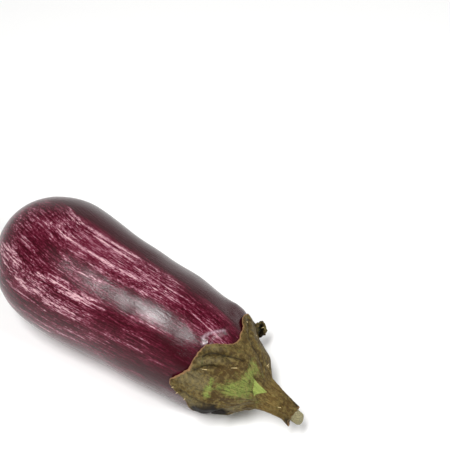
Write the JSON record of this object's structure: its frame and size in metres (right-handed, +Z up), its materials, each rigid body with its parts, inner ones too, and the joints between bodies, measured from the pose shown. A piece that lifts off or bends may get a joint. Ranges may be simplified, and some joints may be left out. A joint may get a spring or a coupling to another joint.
{
  "type": "eggplant",
  "caption": "Whole striped eggplant lying on its belly, with a leafy calyx over the shoulder and a short cut stem.",
  "frame": {"origin": "middle of the small flat that the belly rests on, under the middle of the fruit's length, on the surface it lies on", "axes": "+X along the fruit from the blossom end to the stem, +Z up from the surface, +Y across the fruit"},
  "size_m": [0.2202, 0.0836, 0.0817],
  "materials": {
    "skin": "smooth waxy skin, dark wine with broken white-pink streaks running lengthwise",
    "calyx": "matt leafy sepals, olive brown with green patches, creases, a tan rim and small pale prickles",
    "stem": "dull brown bark striated lengthwise, with a paler grey-tan core at the cut"
  },
  "bodies": {
    "root": {"fruit": "skin", "calyx": "calyx", "stem": "stem"}
  },
  "joints": []
}
